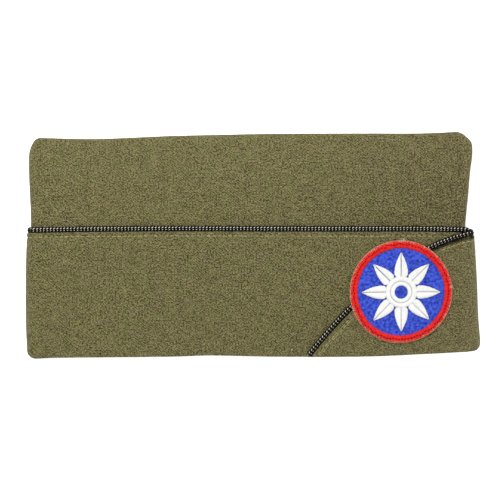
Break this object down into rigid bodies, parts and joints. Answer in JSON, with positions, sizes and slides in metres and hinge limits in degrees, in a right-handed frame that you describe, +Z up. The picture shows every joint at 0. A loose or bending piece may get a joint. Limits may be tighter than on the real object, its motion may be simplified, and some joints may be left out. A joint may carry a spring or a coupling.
{
  "type": "garrison cap",
  "caption": "Folded flat cloth side cap with a turned-up curtain edged in braid, a diagonal lap at the front and a round cloth badge.",
  "frame": {"origin": "under the middle of the folded cap, on the surface that it lies on", "axes": "+X to the front crease, +Y to the top ridge, +Z up through the folded plies to the wearer's right side"},
  "size_m": [0.286, 0.143, 0.0209],
  "materials": {
    "wool_serge": "matte heathered twill",
    "braid": "satin braid with cream metallic flecks",
    "badge_cloth": "matte felted wool",
    "badge_border": "satin embroidery thread",
    "badge_motif": "satin embroidery thread"
  },
  "bodies": {
    "root": {"crown_right_side": "wool_serge", "crown_left_side": "wool_serge", "crown_top_gusset": "wool_serge", "curtain_right": "wool_serge", "curtain_left": "wool_serge", "braid_right": "braid", "braid_left": "braid", "patch_field": "badge_cloth", "patch_border": "badge_border", "patch_motif": "badge_motif"}
  },
  "joints": []
}
